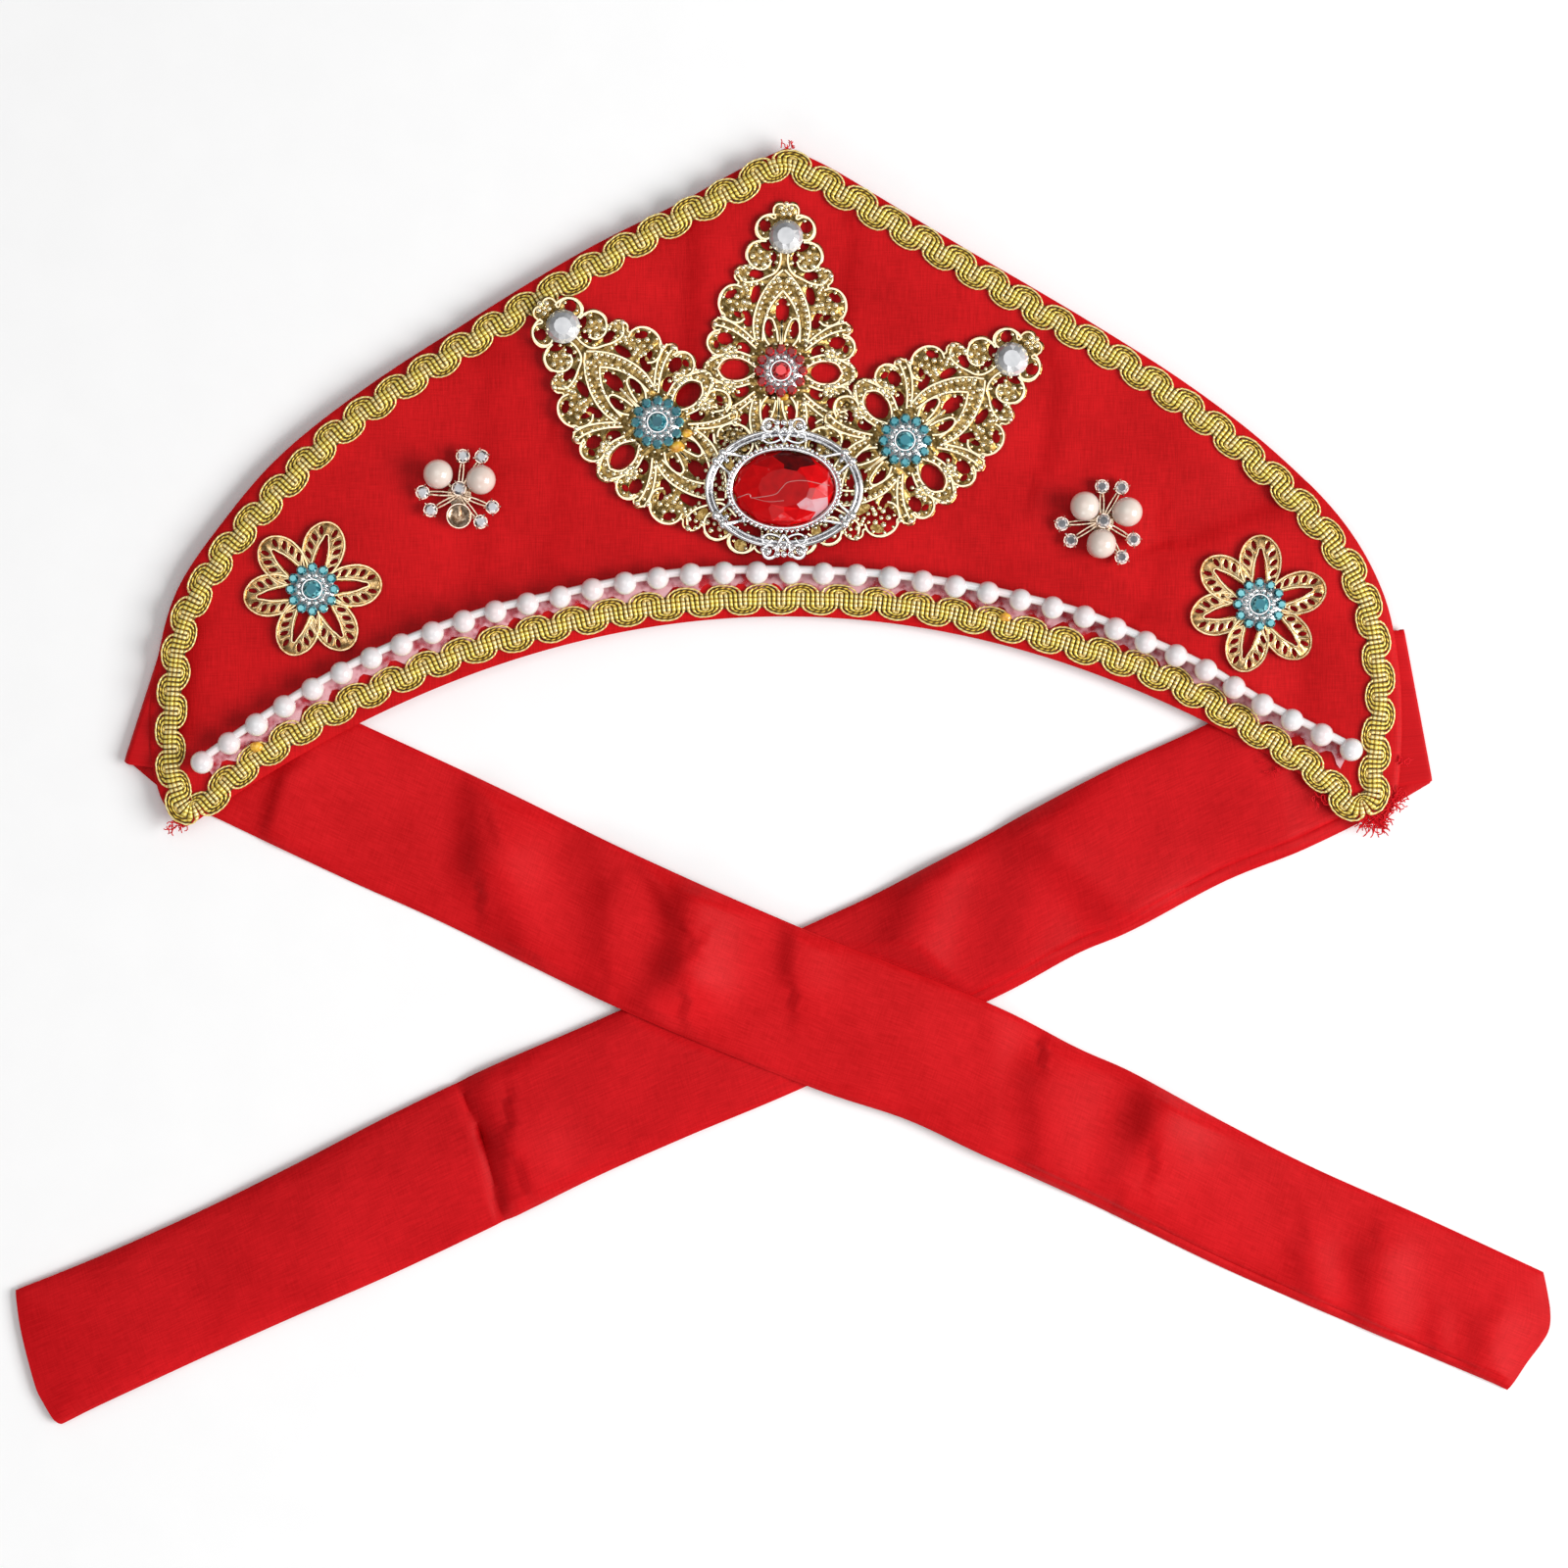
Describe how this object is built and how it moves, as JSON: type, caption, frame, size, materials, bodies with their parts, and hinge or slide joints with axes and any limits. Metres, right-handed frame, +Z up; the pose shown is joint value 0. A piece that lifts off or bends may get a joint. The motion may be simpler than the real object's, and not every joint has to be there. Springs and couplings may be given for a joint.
{
  "type": "kokoshnik headdress",
  "caption": "Crescent-shaped costume headdress in red satin with gold braid, a string of white beads, pierced gold leaves and flowers with coloured stones, and two crossed cloth ties.",
  "frame": {"origin": "centre of the lying headdress's footprint, on the surface that the ties rest on", "axes": "+X along the line between the two tips of the crescent, to the viewer's right; +Y to the crescent's peak; +Z up out of the decorated face"},
  "size_m": [0.448, 0.3706, 0.0162],
  "materials": {
    "red_cloth": "bright red satin",
    "gold_thread": "yellow gold metallic cord",
    "pale_gold": "pale champagne gold plating",
    "silver": "polished silver plating",
    "white_pearl": "glossy pearl white",
    "clear_stone": "clear, mirror backed",
    "red_stone": "deep red, faceted",
    "teal_stone": "teal, faceted"
  },
  "bodies": {
    "root": {"front_panel": "red_cloth", "edge_braid": "gold_thread", "pearl_string": "white_pearl", "filigree_leaf_top": "pale_gold", "filigree_leaf_left": "pale_gold", "filigree_leaf_right": "pale_gold", "crystal_top": "clear_stone", "crystal_left": "clear_stone", "crystal_right": "clear_stone", "rosette_top": "red_stone", "rosette_left": "teal_stone", "rosette_right": "teal_stone", "oval_frame": "silver", "oval_stone": "red_stone", "petal_flower_left": "pale_gold", "petal_flower_right": "pale_gold", "flower_rosette_left": "teal_stone", "flower_rosette_right": "teal_stone", "brooch_left": "pale_gold", "brooch_right": "pale_gold", "brooch_left_pearl_1": "white_pearl", "brooch_left_pearl_2": "white_pearl", "brooch_right_pearl_1": "white_pearl", "brooch_right_pearl_2": "white_pearl", "brooch_right_pearl_3": "white_pearl", "tie_left": "red_cloth", "tie_right": "red_cloth"}
  },
  "joints": []
}
